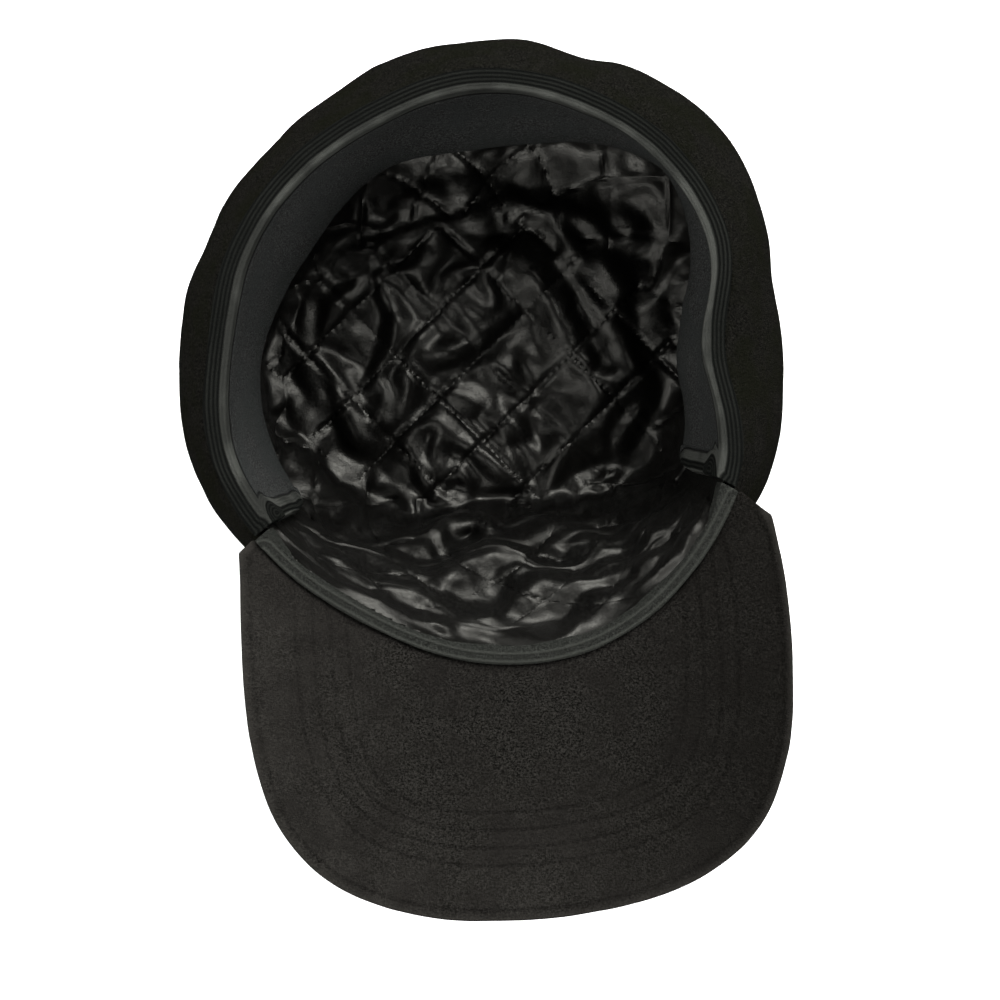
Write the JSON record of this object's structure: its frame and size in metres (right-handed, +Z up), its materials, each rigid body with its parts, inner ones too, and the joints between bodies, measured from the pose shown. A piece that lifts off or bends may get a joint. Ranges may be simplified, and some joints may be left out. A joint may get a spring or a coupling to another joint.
{
  "type": "cadet cap",
  "caption": "Soft wool cadet cap with a round peak, a folded-in ear flap and a quilted satin lining, lying upside down on its crown",
  "frame": {"origin": "The middle of the flat of the crown's top panel, which the upturned cap rests on.", "axes": "+Z up, out of the hollow. The peak points towards -Y and the back of the cap towards +Y. +X is to the right when the peak points towards the viewer, who looks down into the hollow."},
  "size_m": [0.2116, 0.2945, 0.107],
  "materials": {
    "crown_wool": "black fulled wool, matt, with a short nap",
    "peak_wool": "black fulled wool over a stiff board, faint rows of stitching",
    "tape_cloth": "dark grey-green folded cloth tape, matt",
    "flap_cloth": "blue-black brushed cloth with a turned and stitched hem",
    "lining_satin": "black quilted satin, crumpled, glossy"
  },
  "bodies": {
    "root": {"crown_top": "crown_wool", "crown_side": "crown_wool", "peak": "peak_wool", "rim_tape": "tape_cloth", "ear_flap": "flap_cloth", "lining_side": "lining_satin", "lining_top": "lining_satin"}
  },
  "joints": []
}
